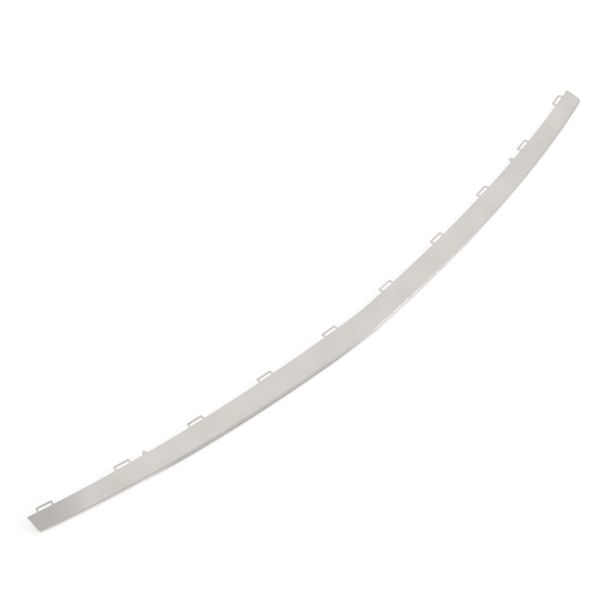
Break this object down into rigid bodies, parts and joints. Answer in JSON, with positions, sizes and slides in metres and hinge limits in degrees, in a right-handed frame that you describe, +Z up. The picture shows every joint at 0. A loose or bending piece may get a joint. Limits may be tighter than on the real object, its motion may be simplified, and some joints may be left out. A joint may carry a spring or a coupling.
{
  "type": "bumper moulding",
  "caption": "Long slim satin silver trim strip for a car bumper, bowed with a soft V nose, with snap loops and locating teeth along its rear edge.",
  "frame": {"origin": "middle of the rim's flat foot at the nose", "axes": "+X along the strip, towards its right end seen from the front; +Y back from the nose; +Z up"},
  "size_m": [1.3384, 0.1511, 0.0188],
  "materials": {
    "satin_plating": "satin electroplate over moulded ABS"
  },
  "bodies": {
    "root": {"moulding": "satin_plating"}
  },
  "joints": []
}
